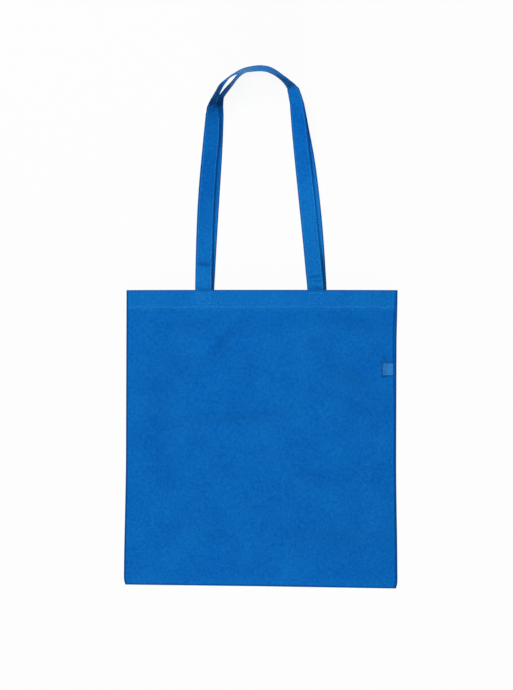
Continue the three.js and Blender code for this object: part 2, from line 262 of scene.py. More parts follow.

# Painted shade where the front handle's crown folds over into its legs: side, millimetres below the crown at
# the middle of the strap and how much farther at its outer edge, the edge that the shade spreads from (-1 is
# the inner one), how far up it spreads, and how dark it is, from 0 to 1
SHOULDER_FOLD_SHADES = [
    (-1, 50, 3, 1, 13, 0.95),
    (1, 25.5, 0, -1, 33, 0.8),
]
# How far across the strap a fold's painted shade has spread at its line and over what part of that it sets in,
# both in half straps, and the millimetres about the line over which it ends
FOLD_SPREAD = 2.6
FOLD_FADE = (1, 1.6)
FOLD_EDGE = (-1, 1)

# Painted shade where a handle lies in shade, on edge at the shoulders or near the hem: handle, side, drops
# below the crown between which it lies, and how dark, from 0 to 1
PAINTED_SHADE_RUNS = [
    ("front_handle", -1, 18, 54, 0.75),
    ("back_handle", -1, 18, 58, 0.85),
    ("front_handle", 1, 4, 28, 0.35),
    ("back_handle", -1, 235, 375, 0.45),
    ("back_handle", 1, 248, 375, 0.95),
]
# Share of such a run over which it sets in and ends
RUN_RAMP = 0.25

# How closely the straps' layers lie: pressed at the hem and the crown, and loose between, where the rolled legs
# take painted shade. A side's leg gets loose, and both get pressed again, over these heights in millimetres
# above the mouth.
LAYERS_PRESSED = 1.2
LAYERS_LOOSE_SHADED = -0.3
LOOSE_FROM = {-1: (45, 125), 1: (120, 200)}
LOOSE_TO = (245, 290)

# Painted highlight, a paler patch on the crowns: x and y from the middle of the mouth edge and half length in
# millimetres, and how pale the cloth is there, from 0 to 1
PAINTED_HIGHLIGHTS = [
    (-24, 302, 20, 0.19),
    (6, 308, 24, 0.07),
]

# Painted shade along lines of cloth and tape, at edges, seams, folds and the label: millimetres in from the
# edge, half width, and how dark, from 0 to 1
PAINTED_SHADE_LINES = {
    "left_side": (1.3, 1.1, 0.9),
    "right_side": (1.4, 1.3, 0.9),
    "seam_line": (0, 0.7, 0.7),
    "bottom_fold": (1, 1, 0.8),
    "mouth": (0.9, 0.8, 0.5),
    "strap_edge": (1, 0.8, 0.6),
    "tape_fold": (0, 1.7, 1),
    "tape_edge": (0, 0.8, 0.9),
}
# Painted shade over the tape's folded half, how dark, and between which shares of its length that fades
TAPE_PAINTED_SHADE = 0.14
TAPE_FADE = (0.6, 0.4)

# Soft hollows of the front panel: x and y of the middle, angle in degrees, length, half width and depth, in
# millimetres from the middle of the mouth edge
SOFT_FOLDS = [
    (-51, -68, 48, 84, 8, 1.7),
    (-30, -177, 6, 190, 9, 1.1),
    (-142, -175, 90, 230, 22, 1.0),
    (122, -118, -38, 85, 14, 1.7),
    (134, -162, -30, 65, 11, 1.4),
    (76, -258, -22, 60, 9, 1.2),
    (110, -344, -8, 95, 18, 1.5),
    (-76, -341, -18, 80, 10, 0.9),
    (20, -350, 6, 50, 9, 0.6),
    (-111, -46, 8, 62, 10, 1.4),
    (118, -43, -2, 150, 11, 1.2),
]
# Painted shade along those hollows, how dark for each millimetre of depth
HOLLOW_PAINTED_SHADE = 0.1
# Random ripples between the hollows
RIPPLE_SEED = 7
RIPPLES = 26
RIPPLE_HEIGHT = 0.11 * MM
RIPPLE_SPANS = (28 * MM, 90 * MM)
# Distances from the side edges, the bottom fold and the hem's end over which hollows and ripples set in
SIDE_FADE = (6 * MM, 34 * MM)
BOTTOM_FADE = (4 * MM, 40 * MM)
HEM_FADE = (-6 * MM, 12 * MM)


def smooth(t, low, high):
    """Goes from 0 at low to 1 at high with soft ends."""
    t = np.clip((t - low) / (high - low), 0, 1)
    return t * t * (3 - 2 * t)


def mix(a, b, t):
    return a + (b - a) * t


def bell(t, half_width):
    return np.exp(-((t / half_width) ** 2))


def unit(vectors):
    return vectors / np.linalg.norm(vectors, axis=-1, keepdims=True)


def run_lengths(line):
    """Length of a line up to each of its points."""
    return np.concatenate([[0], np.cumsum(np.linalg.norm(np.diff(line, axis=0), axis=1))])


def side_by_side(*columns):
    """Columns as the last axis of one array, stretched to one shape."""
    return np.stack(np.broadcast_arrays(*columns), axis=-1)


def graded(spans):
    """Stations along a line from (end, step) spans that start at 0, with the last end included."""
    stops = []
    start = 0
    for end, step in spans:
        count = max(1, round((end - start) / step))
        stops.extend(np.linspace(start, end, count, endpoint=False))
        start = end
    return np.array(stops + [start])


def painted_shade(place, away):
    """How much painted shade cloth takes at a distance from an edge or line."""
    inset, half_width, share = PAINTED_SHADE_LINES[place]
    return share * bell(away - inset * MM, half_width * MM)


# Shape of the sheet. Heights are above the bottom fold, x is from the middle of the mouth edge.

# The swell beside the hem's groove, in depths and widths of the groove
HEM_SWELL = 0.35
HEM_SWELL_WIDTH = 1.4
# Shares of the seam's roll at the mouth, and of its groove where it hasn't rolled
ROLL_AT_MOUTH = 0.35
GROOVE_LEAST = 0.3
# The bank beside the seam's groove: height in groove depths, place and width in groove half widths
BANK_HEIGHT = 0.4
BANK_PLACE = 2.6
BANK_WIDTH = 1.6
# How far the margin beyond the groove is sunk, and how far it falls on towards the edge, in groove depths
MARGIN_SUNK = 0.25
MARGIN_FALL = 0.1
# Heights at which the sides are measured
EDGE_SAMPLES = 421


def drift(sheet, height):
    return sheet.bottom_drift * (1 - height / sheet.height)


def side_edge(sheet, side, height):
    flare = sheet.bottom_flare * (1 - smooth(height, 0, sheet.flare_height))
    tuck = sheet.corner_tuck * np.maximum(0, 1 - height / sheet.corner_height) ** 2
    if side > 0:
        near_mouth = smooth(height, sheet.height - sheet.mouth_flare_height, sheet.height)
        flare = flare + sheet.mouth_flare * near_mouth
    return side * (sheet.width / 2 + flare - tuck) + drift(sheet, height)


def front_height(sheet, x, height):
    """Height of the smooth front panel above the floor."""
    from_fold = np.clip(height / sheet.fold_reach, 0, 1)
    belly = sheet.belly_rise * (1 - (1 - from_fold) ** sheet.fold_fullness)
    mouth = smooth(height, sheet.height - sheet.mouth_reach, sheet.height)
    fold_edge = 2 * sheet.cloth + sheet.seam_loft
    sewn_edge = 4 * sheet.cloth + sheet.seam_loft
    edge = mix(fold_edge, sewn_edge, smooth(height, 0, sheet.corner_height))
    across = np.minimum(1, np.abs(x) / (sheet.width / 2))
    return edge + mix(belly, sheet.mouth_rise, mouth) * (1 - across**sheet.belly_fullness)


def ripples():
    """Random low waves as (x and y of the wave, phase) rows, the same in each run."""
    draw = np.random.default_rng(RIPPLE_SEED)
    angles = draw.uniform(0, 2 * math.pi, RIPPLES)
    waves = 2 * math.pi / draw.uniform(*RIPPLE_SPANS, RIPPLES)
    phases = draw.uniform(0, 2 * math.pi, RIPPLES)
    return list(zip(waves * np.cos(angles), waves * np.sin(angles), phases))


WAVES = ripples()


def hollows(x, y):
    """Depth of the soft folds of the front panel."""
    total = np.zeros(np.broadcast(x, y).shape)
    for middle_x, middle_y, angle, span, half_width, depth in SOFT_FOLDS:
        cosine, sine = math.cos(math.radians(angle)), math.sin(math.radians(angle))
        from_x, from_y = x - middle_x * MM, y - middle_y * MM
        along = bell(from_x * cosine + from_y * sine, span / 2 * MM)
        total += depth * MM * bell(from_y * cosine - from_x * sine, half_width * MM) * along
    return total


def relief(sheet, x, height):
    """Soft folds and ripples of the front panel, dying out towards the hem and the sewn edges."""
    y = height - sheet.height
    total = -hollows(x, y)
    for wave_x, wave_y, phase in WAVES:
        total += RIPPLE_HEIGHT * np.cos(wave_x * x + wave_y * y + phase)
    fade = smooth(sheet.width / 2 - np.abs(x), *SIDE_FADE) * smooth(height, *BOTTOM_FADE)
    return total * fade * smooth(-y - sheet.hem_depth, *HEM_FADE)


def stitch_drop(sheet):
    return sheet.hem_depth - sheet.stitch_margin


def hem_dip(sheet, thread, height):
    """Groove that the hem's stitches pull in, with a soft swell on both sides of it."""
    away = height - (sheet.height - stitch_drop(sheet))
    groove = bell(away, thread.hem_dip_width / 2)
    return thread.hem_dip * (groove - HEM_SWELL * bell(away, thread.hem_dip_width * HEM_SWELL_WIDTH))


def roll_share(sheet, height):
    """How much of its roll a seam line has: all of it above the label, less at the mouth, none low down."""
    drop = sheet.height - height
    rolled_back = smooth(drop, sheet.roll_top, sheet.roll_end)
    return mix(ROLL_AT_MOUTH, 1, smooth(drop, 0, sheet.roll_top)) * (1 - rolled_back)


def seam_roll(sheet, height):
    """Distance of a seam line from its side edge."""
    least = sheet.edge_round + sheet.seam_groove_width
    return mix(least, max(least, sheet.seam_roll), roll_share(sheet, height))


def row_y(sheet, x, height):
    across = x / (sheet.width / 2)
    below = 1 - height / sheet.height
    skew = sheet.fold_skew / 2 * across * below
    return height - sheet.height - skew + sheet.fold_bow * (1 - across**2) * below**2


def bag_origin(sheet):
    """Where the middle of the mouth edge lies in the frame."""
    low, high = SHEET_BOX
    leftmost = side_edge(sheet, -1, np.linspace(0, sheet.height, EDGE_SAMPLES)).min()
    return np.array([low.x - leftmost, high.y, 0])


# Mesh making


def mesh_object(name, points, faces, material):
    mesh = bpy.data.meshes.new(name)
    mesh.from_pydata(points.tolist(), [], faces)
    mesh.shade_smooth()
    mesh.materials.append(material)
    piece = bpy.data.objects.new(name, mesh)
    bpy.context.scene.collection.objects.link(piece)
    return piece


def loft(name, rings, place, material):
    """One closed skin through rings of equal count. place holds each point's cloth coordinates in metres."""
    rows, count = rings.shape[:2]
    index = np.arange(rows * count).reshape(rows, count)
    ahead = np.roll(index, -1, axis=1)
    quads = side_by_side(index[:-1], ahead[:-1], ahead[1:], index[1:]).reshape(-1, 4)
    hubs = [rows * count, rows * count + 1]
    first = side_by_side(hubs[0], ahead[0], index[0])
    last = side_by_side(hubs[1], index[-1], ahead[-1])
    points = np.concatenate([rings.reshape(-1, 3), rings[[0, -1]].mean(axis=1)])
    faces = quads.tolist() + first.tolist() + last.tolist()
    piece = mesh_object(name, points, faces, material)
    spots = np.concatenate([place.reshape(-1, 2), place[[0, -1]].mean(axis=1)]).astype(np.float32)
    corners = np.empty(len(piece.data.loops), dtype=np.int32)
    piece.data.loops.foreach_get("vertex_index", corners)
    piece.data.uv_layers.new(name="cloth").uv.foreach_set("vector", spots[corners].ravel())
    return piece


def mark(piece, name, values):
    """Keeps a share from 0 to 1 at each point, for the material to read."""
    spare = len(piece.data.vertices) - values.size
    values = np.concatenate([values.ravel(), np.ones(spare)]).astype(np.float32)
    piece.data.attributes.new(name, "FLOAT", "POINT").data.foreach_set("value", values)


def fasten(piece, node, replaces=True):
    """Lets a piece ride on the bag, and stand for a node by hiding that node when it replaces it."""
    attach(piece, BODY)
    if replaces:
        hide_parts(node)


# Rings of the sheet: shares over the seam's groove and its margin, angles of the side edges, the bottom fold
# and the mouth edge outside and inside, rings down the inside, and the lowest one's height in corner heights
GROOVE_SHARES = np.linspace(-1, 1, 9)
MARGIN_SHARES = np.linspace(0, 1, 5)[1:-1]
ARC_ANGLES = np.linspace(math.pi / 2, -math.pi / 2, 11)
FOLD_ANGLES = np.radians([12, 35, 60, 80])
OUTER_ANGLES = np.radians([30, 60, 90])
INNER_ANGLES = np.radians([90, 120, 150, 180])
INSIDE_RINGS = 36
INSIDE_LOWEST = 1 / 3
# Widths of the bands of finer faces, and the faces in them
SIDE_BAND, SIDE_FACE = 6 * MM, 0.5 * MM
FOLD_BAND, FOLD_FACE = 12 * MM, 1 * MM
STITCH_BAND, STITCH_FACE = 12 * MM, 0.4 * MM
MOUTH_BAND, MOUTH_FACE = 3 * MM, 0.6 * MM
HEM_FACE = 2 * MM
# Where the hem's second layer starts to show, and the step at its end inside
HEM_SHOWS = (-0.5 * MM, 1.5 * MM)
HEM_STEP = 0.6 * MM
# Points of the outside that lie higher than this are on the front
FRONT_ABOVE = 2 * MM


def ring_places(sheet):
    """Shares across the front panel, finer at its edges, and across the back, twice as coarse."""
    stops = graded([(SIDE_BAND, SIDE_FACE), (sheet.width - SIDE_BAND, sheet.grid), (sheet.width, SIDE_FACE)])
    back = graded([(sheet.width, 2 * sheet.grid)])
    return stops / stops[-1], back / back[-1]


def outer_ring(sheet, thread, height, inset, squash):
    """Outside of the bag at a height, drawn in by inset at the mouth and flattened to a fold by squash."""
    front_shares, back_shares = ring_places(sheet)
    left = side_edge(sheet, -1, height) + inset
    right = side_edge(sheet, 1, height) - inset
    roll = seam_roll(sheet, height)
    lip = sheet.seam_groove_width / 2
    bend = sheet.edge_round
    groove = sheet.seam_groove
    dip = hem_dip(sheet, thread, height)
    side = front_height(sheet, sheet.width / 2, height) - inset
    margin = side - MARGIN_SUNK * groove
    depth = groove * mix(GROOVE_LEAST, 1, roll_share(sheet, height))
    valley = depth * (0.5 + 0.5 * np.cos(math.pi * GROOVE_SHARES))

    def arc(top):
        return (top - inset) / 2 * np.sin(ARC_ANGLES) + (top + inset) / 2

    front_x = mix(left + bend, right - roll - lip, front_shares)
    front_z = front_height(sheet, front_x, height) + relief(sheet, front_x, height) - dip - inset
    front_z += BANK_HEIGHT * groove * bell(front_x - (right - roll - BANK_PLACE * lip), BANK_WIDTH * lip)
    groove_x = right - roll + lip * GROOVE_SHARES
    groove_z = mix(front_z[-1], margin, (GROOVE_SHARES + 1) / 2) - valley
    margin_x = mix(right - roll + lip, right - bend, MARGIN_SHARES)
    margin_z = margin - MARGIN_FALL * groove * MARGIN_SHARES
    arc_x = bend * np.cos(ARC_ANGLES)
    back_x = mix(right - bend, left + roll + lip, back_shares)
    back_z = np.full(len(back_x), inset + max(dip, 0))
    turned_x = left + roll - lip * GROOVE_SHARES
    tail_x = mix(left + roll - lip, left + bend, MARGIN_SHARES)
    tail_z = np.full(len(tail_x), inset)
    x = [front_x, groove_x[1:], margin_x, right - bend + arc_x, back_x[1:]]
    x += [turned_x[1:], tail_x, left + bend - arc_x[:-1]]
    z = [front_z, groove_z[1:], margin_z, arc(margin_z[-1]), back_z[1:]]
    z += [inset + valley[1:], tail_z, arc(side)[:0:-1]]
    x, z = np.concatenate(x), np.concatenate(z)
    fold_middle = sheet.cloth + sheet.seam_loft / 2
    return side_by_side(x, row_y(sheet, x, height), mix(fold_middle, z, squash))


def inner_ring(sheet, height, wall):
    """Inside of the bag at a height, a wall in from the outer faces and clear of the sewn margins."""
    front_shares, back_shares = ring_places(sheet)
    left = side_edge(sheet, -1, height) + sheet.seam_allowance
    right = side_edge(sheet, 1, height) - sheet.seam_allowance
    upright = len(GROOVE_SHARES) - 1 + len(MARGIN_SHARES) + len(ARC_ANGLES)
    front_x = mix(left, right, front_shares)
    front_z = front_height(sheet, front_x, height) + relief(sheet, front_x, height) - wall
    back_x = mix(right, left, back_shares)
    shares = np.linspace(0, 1, upright + 1)[1:]
    x = [front_x, np.full(upright, right), back_x[1:], np.full(upright - 1, left)]
    z = [front_z, mix(front_z[-1], wall, shares), np.full(len(back_x) - 1, wall)]
    z.append(mix(wall, front_z[0], shares[:-1]))
    x, z = np.concatenate(x), np.concatenate(z)
    return side_by_side(x, row_y(sheet, x, height), z)


def sheet_rings(sheet, thread):
    """Rings of the whole sheet from the bottom fold, over the mouth edge and down the inside.

    With them come each ring's place along the cloth and how far a second layer lies behind it.
    """
    fold_radius = sheet.cloth + sheet.seam_loft / 2
    top = sheet.height
    hem_end = top - sheet.hem_depth
    turn = sheet.cloth
    rows = []
    for angle in FOLD_ANGLES:
        height = fold_radius * (1 - math.cos(angle))
        rows.append((outer_ring(sheet, thread, height, 0, math.sin(angle)), height, 0))
    spans = [(FOLD_BAND, FOLD_FACE), (hem_end, sheet.grid), (hem_end + STITCH_BAND, STITCH_FACE)]
    spans += [(top - MOUTH_BAND, HEM_FACE), (top - turn, MOUTH_FACE)]
    for height in graded(spans)[1:]:
        rows.append((outer_ring(sheet, thread, height, 0, 1), height, smooth(height - hem_end, *HEM_SHOWS)))
    for angle in OUTER_ANGLES:
        height = top - turn + turn * math.sin(angle)
        rows.append((outer_ring(sheet, thread, height, turn * (1 - math.cos(angle)), 1), height, 1))
    for angle in INNER_ANGLES:
        height = top - turn + turn * math.sin(angle)
        rows.append((inner_ring(sheet, height, turn * (1 - math.cos(angle))), 2 * top - height, 1))
    rows.append((inner_ring(sheet, hem_end, 2 * sheet.cloth), 2 * top - hem_end, 1))
    lowest = INSIDE_LOWEST * sheet.corner_height
    for height in np.linspace(hem_end - HEM_STEP, lowest, INSIDE_RINGS):
        rows.append((inner_ring(sheet, height, sheet.cloth), 2 * top - height, 0))
    return [np.array(column) for column in zip(*rows)]


def sheet_painted_shade(sheet, rings):
    """Painted shade on the cloth: at the sides, the seam, the bottom fold, the mouth and the hollows."""
    x, y, z = np.moveaxis(rings, -1, 0)
    height = y + sheet.height
    to_right = x.max(axis=1, keepdims=True) - x
    outside = (np.arange(len(rings)) < np.argmax(y.max(axis=1)))[:, None]
    left = painted_shade("left_side", x - x.min(axis=1, keepdims=True))
    seam = roll_share(sheet, height) * painted_shade("seam_line", to_right - seam_roll(sheet, height))
    sides = outside * np.max([left, painted_shade("right_side", to_right), seam], axis=0)
    painted_crease_shade = HOLLOW_PAINTED_SHADE * (outside & (z > FRONT_ABOVE)) * hollows(x, y) / MM
    return np.max([sides, painted_shade("bottom_fold", y - y[0]), painted_shade("mouth", -y), painted_crease_shade], axis=0)


# Handles

# The strap's section: face width, swell of its faces, half width of a stitch groove, and its round edges with
# the cleft's half width in radians
STRAP_FACE = 0.7 * MM
STRAP_SWELL = 0.05 * MM
GROOVE_HALF = 0.8 * MM
RIM_ANGLES = np.linspace(math.pi / 2, -math.pi / 2, 9)
CLEFT_HALF = 0.5
# Power of the curve on which the front handle climbs onto the back one
CLIMB_POWER = 4


def through(points):
    """Smooth line through points, bending evenly whatever their spacing."""
    run = np.concatenate([[2 * points[0] - points[1]], points, [2 * points[-1] - points[-2]]])
    shares = np.linspace(0, 1, PLAN_STEPS, endpoint=False)[:, None]
    line = []
    for a, b, c, d in zip(run, run[1:], run[2:], run[3:]):
        before, here, after = (math.sqrt(np.linalg.norm(q - p)) for p, q in ((a, b), (b, c), (c, d)))
        leave = here * ((b - a) / before - (c - a) / (before + here) + (c - b) / here)
        arrive = here * ((c - b) / here - (d - b) / (here + after) + (d - c) / after)
        bend = 2 * b - 2 * c + leave + arrive
        lean = -3 * b + 3 * c - 2 * leave - arrive
        line.append(bend * shares**3 + lean * shares**2 + leave * shares + b)
    return np.concatenate([*line, points[-1:]])


def resampled(line, step):
    """Evenly spaced points on a line, about a step apart."""
    runs = run_lengths(line)
    stops = np.linspace(0, runs[-1], round(runs[-1] / step) + 1)
    return side_by_side(*(np.interp(stops, runs, column) for column in line.T))


def soft_curve(stops, values):
    """Cubic curve through values at uneven stops."""
    stops, values = np.array(stops, float), np.array(values, float)
    slopes = np.gradient(values, stops)

    def at(x):
        i = np.clip(np.searchsorted(stops, x) - 1, 0, len(stops) - 2)
        gap = stops[i + 1] - stops[i]
        t = np.clip((x - stops[i]) / gap, 0, 1)
        held = (1 + 2 * t) * (1 - t) ** 2 * values[i] + t**2 * (3 - 2 * t) * values[i + 1]
        return held + gap * (t * (1 - t) ** 2 * slopes[i] - t**2 * (1 - t) * slopes[i + 1])

    return at


def handle_plan(shape, sheet, strap):
    """Centre line of a handle as seen from above, from one tail's end to the other's."""
    spring = (shape["rise"] - shape["crown_rise"]) * MM
    top = (shape["shift"] + shape["crown_sidestep"]) * MM

    def half(side):
        leg = shape["sides"][side]
        reach = leg["reach"] * MM
        bluntness = 2 / leg["fullness"]
        foot = shape["shift"] * MM + side * strap.spacing / 2
        points = [(foot, strap.tail_margin - sheet.hem_depth)]
        for share in np.linspace(0, 1 - 1 / (LEG_POINTS + 2), LEG_POINTS + 1):
            bow = side * leg["bow"] * MM * math.sin(math.pi * share)
            points.append((mix(foot, top + side * reach, share) + bow, spring * share))
        for angle in np.linspace(0, math.pi / 2, CROWN_POINTS + 1):
            across = reach * max(0, math.cos(angle)) ** bluntness
            up = shape["crown_rise"] * MM * math.sin(angle) ** bluntness
            points.append((top + side * across, spring + up))
        return points

    return resampled(through(np.array(half(-1) + half(1)[-2::-1])), strap.step)


def strap_section(strap):
    """Outline of the folded strap as (across, out of its face) rows."""
    half_width, half = strap.width / 2, strap.thickness / 2
    flat = half_width - half
    edge = graded([(2 * half_width, STRAP_FACE)]) - half_width
    across = edge[np.abs(edge) < flat]
    dip = strap.stitch_dip * bell(np.abs(across) - (half_width - strap.stitch_inset), GROOVE_HALF)
    face = half - dip + STRAP_SWELL * np.cos(across / half_width * math.pi / 2)
    rim = half - strap.cleft * bell(RIM_ANGLES, CLEFT_HALF)
    outer = side_by_side(flat + half * np.cos(RIM_ANGLES), half * np.sin(RIM_ANGLES))
    inner = side_by_side(-flat - rim * np.cos(RIM_ANGLES), -rim * np.sin(RIM_ANGLES))
    top = side_by_side(across, face)
    under = side_by_side(across[::-1], -face[::-1])
    return np.concatenate([top, outer, under, inner])


def handle_stations(name, sheet, strap):
    """Centres, width directions and face directions along a handle."""
    shape = HANDLES[name]
    plan = handle_plan(shape, sheet, strap)
    x, y = plan.T
    drop = shape["rise"] - y / MM
    on_left = x < (shape["shift"] + shape["crown_sidestep"]) * MM
    left, right = (shape["sides"][side] for side in (-1, 1))

    def along_sides(kind):
        curves = [soft_curve(leg["drops"], leg[kind])(np.maximum(0, drop)) for leg in (left, right)]
        return np.where(on_left, *curves)

    aside = along_sides("asides") * MM
    settled = smooth(y, 0, strap.settle)
    tail, tilt, hem_stack, crown_stack = strap_rests(name, sheet, strap)
    leg_rest = np.minimum(np.where(on_left, left["rest"], right["rest"]) * MM, hem_stack)
    leg_stack = mix(hem_stack, leg_rest, smooth(y, 0, strap.leg_fall))
    turn = np.radians(along_sides("turns")) * settled + tilt * (1 - settled)
    heading = unit(np.gradient(plan, axis=0))
    x = x - aside * heading[:, 1]
    y = y + aside * heading[:, 0]
    climb = np.exp(-((drop * MM / strap.crown_reach) ** CLIMB_POWER))
    lean = strap.width / 2 * np.sin(np.maximum(0, turn)) + strap.thickness / 2 * np.abs(np.cos(turn))
    z = mix(tail, lean + mix(leg_stack, crown_stack, climb), settled)
    centres = side_by_side(x, y, z)
    along = unit(np.gradient(centres, axis=0))
    inward = unit(side_by_side(along[:, 1], -along[:, 0], 0))
    width = -inward * np.cos(turn)[:, None] + np.array([0, 0, 1]) * np.sin(turn)[:, None]
    width = unit(width - along * np.sum(width * along, axis=-1, keepdims=True))
    return centres, width, np.cross(along, width)


def strap_rests(name, sheet, strap):
    """Height and tilt of a handle's tails under the hem, and what its legs and crown rest on."""
    if name == "back_handle":
        return 2 * sheet.cloth + strap.sew_gap + strap.thickness / 2, 0, 0, 0

    def under_hem(x):
        return front_height(sheet, x, sheet.height) - 2 * sheet.cloth - strap.sew_gap - strap.thickness / 2

    at = strap.spacing / 2
    half = strap.width / 2
    tilt = math.atan2(under_hem(at + half) - under_hem(at - half), strap.width)
    tail = under_hem(at - HANDLES[name]["shift"] * MM) - strap.sew_gap / 2
    crown = strap.width + strap.thickness + strap.sew_gap
    return tail, tilt, tail - strap.thickness / 2, crown


def crease_rise(name, centres, across, strap):
    """How far the base creases raise the strap at each station and each point across it."""
    total = np.zeros((len(centres), len(across)))
    if name != "front_handle":
        return total
    for side, above, height, upper, lower, highest in LEG_CREASES:
        on_side = np.sign(centres[:, 0, None]) == side
        away = centres[:, 1, None] - above * MM
        along = bell(away, np.where(away > 0, upper, lower) * MM)
        place = -side * across / (strap.width / 2)
        total += on_side * along * height * MM * bell(place - highest, CREASE_SPREAD)
    return total


def strap_painted_shade(name, centres, across, strap):
    """Painted shade on a strap, from 0 to 1: along its edges, on shaded runs, and at its folds and creases."""
    height = centres[:, 1, None] / MM
    drop = HANDLES[name]["rise"] - height
    outward = across / (strap.width / 2)
    edges = painted_shade("strap_edge", strap.width / 2 - np.abs(across))
    total = np.broadcast_to(edges, (len(centres), len(across)))

    def with_share(side, share):
        return np.maximum(total, (np.sign(centres[:, 0, None]) == side) * share)

    for handle, side, start, end, share in PAINTED_SHADE_RUNS:
        if handle == name:
            ramp = RUN_RAMP * (end - start)
            run = smooth(drop, start, start + ramp) * (1 - smooth(drop, end - ramp, end))
            total = with_share(side, share * run)
    if name != "front_handle":
        return total
    for side, fold_drop, slant, spread_from, reach, share in SHOULDER_FOLD_SHADES:
        above = fold_drop + slant * outward - drop
        spread = FOLD_SPREAD * smooth(above, reach, 0)
        wedge = smooth(spread_from * outward + spread, *FOLD_FADE)
        total = with_share(side, share * wedge * smooth(above, *FOLD_EDGE))
    for side, above, _, upper, _, highest in LEG_CREASES:
        line = bell(height - above - CREASE_LINE * upper, CREASE_LINE_WIDTH * upper)
        total = with_share(side, CREASE_PAINTED_SHADE * line * bell(-side * outward - highest, CREASE_SPREAD))
    return total


def layers_and_leg_shade(centres):
    """How closely a strap's layers lie at each station, with painted shade where the legs roll."""
    height = centres[:, 1] / MM
    left, right = (smooth(height, *LOOSE_FROM[side]) for side in (-1, 1))
    loose = np.where(centres[:, 0] < 0, left, right) * (1 - smooth(height, *LOOSE_TO))
    return mix(LAYERS_PRESSED, LAYERS_LOOSE_SHADED, loose)


def painted_highlight_share(centres):
    """How strong the painted highlight is at each station, from 0 to 1."""
    total = np.zeros(len(centres))
    for x, y, half_length, share in PAINTED_HIGHLIGHTS:
        away = np.hypot(centres[:, 0] - x * MM, centres[:, 1] - y * MM)
        total = np.maximum(total, share * bell(away, half_length * MM))
    return total


# Sewing

# One stitch: places along it, lift of its middle line and roundness there, in thread radii
STITCH_SHARES = np.array([-0.5, -0.36, 0, 0.36, 0.5])
STITCH_LIFT = np.array([-0.75, 0.05, 0.25, 0.05, -0.75])
STITCH_ROUND = np.array([0.6, 1, 1, 1, 0.6])
THREAD_SIDES = 6
# Box stitches are pulled this far into the thick hem, in thread radii
BOX_SUNK = 0.85
# Sides and diagonals of a box, as pairs of its corners
BOX_RUNS = [(0, 1), (1, 2), (2, 3), (3, 0), (0, 2), (1, 3)]
BOX_SAMPLES = 30
HEM_SAMPLES = 400
# The hem's stitches end this far from the side edges, and a strap's this far inside the mouth
HEM_CLEAR = 3 * MM
STRAP_CLEAR = 1 * MM
# Half the span over which the front's slope is measured
SLOPE_STEP = 0.5 * MM


def stitch_row(line, normals, thread, sunk=0):
    """Points of the stitches along a line on cloth, as (stitch, ring, side) rows."""
    runs = run_lengths(line)
    count = max(1, int(runs[-1] / thread.pitch))
    middles = (np.arange(count) + 0.5) * runs[-1] / count
    stops = middles[:, None] + STITCH_SHARES * thread.stitch

    def at(values):
        return side_by_side(*(np.interp(stops, runs, column) for column in values.T))

    up = unit(at(normals))
    radius = thread.diameter / 2
    centre = at(line) + up * ((STITCH_LIFT - sunk) * radius)[None, :, None]
    along = unit(centre[:, -1] - centre[:, 0])[:, None]
    aside = unit(np.cross(np.broadcast_to(along, up.shape), up))
    angles = np.arange(THREAD_SIDES) * 2 * math.pi / THREAD_SIDES
    reach = radius * STITCH_ROUND[None, :, None, None]
    ring = np.cos(angles)[:, None] * up[:, :, None] + np.sin(angles)[:, None] * aside[:, :, None]
    return centre[:, :, None] + reach * ring


def stitching(name, rows, material):
    """One piece of all the stitches in the rows."""
    stitches = np.concatenate(rows)
    index = np.arange(len(STITCH_SHARES) * THREAD_SIDES).reshape(-1, THREAD_SIDES)
    ahead = np.roll(index, -1, axis=1)
    quads = side_by_side(index[:-1], index[1:], ahead[1:], ahead[:-1]).reshape(-1, 4)
    starts = np.arange(len(stitches))[:, None] * index.size
    faces = (quads[None] + starts[:, None]).reshape(-1, 4).tolist()
    faces += (index[0] + starts).tolist()
    faces += (index[-1][::-1] + starts).tolist()
    return mesh_object(name, stitches.reshape(-1, 3), faces, material)


def on_front(sheet, thread, x, y):
    """Points and normals on the front panel's cloth."""
    height = y + sheet.height

    def surface(at):
        return front_height(sheet, at, height) + relief(sheet, at, height) - hem_dip(sheet, thread, height)

    slope = (surface(x + SLOPE_STEP) - surface(x - SLOPE_STEP)) / (2 * SLOPE_STEP)
    normals = unit(side_by_side(-slope, 0, 1))
    return side_by_side(x, y, surface(x)), normals


def on_back(sheet, thread, x, y):
    """Points and normals on the back panel's cloth, which faces the floor."""
    lift = np.maximum(hem_dip(sheet, thread, y + sheet.height), 0)
    normals = np.broadcast_to([0.0, 0.0, -1.0], (len(x), 3))
    return side_by_side(x, y, lift), normals


def hem_rows(sheet, thread, side_of_bag):
    drop = stitch_drop(sheet)
    left, right = (side_edge(sheet, side, sheet.height - drop) - side * HEM_CLEAR for side in (-1, 1))
    x = np.linspace(left, right, HEM_SAMPLES)
    line, normals = side_of_bag(sheet, thread, x, np.full(HEM_SAMPLES, -drop))
    return [stitch_row(line, normals, thread)]


def box_rows(sheet, strap, thread, name, side_of_bag):
    """Crossed boxes that hold the two tails of a handle to the hem."""
    rows = []
    shares = np.linspace(0, 1, BOX_SAMPLES)
    for side in (-1, 1):
        middle = HANDLES[name]["shift"] * MM + side * strap.spacing / 2
        left, right = middle - thread.box_width / 2, middle + thread.box_width / 2
        top, low = -thread.box_top, -thread.box_top - thread.box_height
        corners = [(left, low), (left, top), (right, top), (right, low)]
        for start, end in BOX_RUNS:
            x, y = (mix(a, b, shares) for a, b in zip(corners[start], corners[end]))
            line, normals = side_of_bag(sheet, thread, x, y)
            rows.append(stitch_row(line, normals, thread, BOX_SUNK))
    return rows


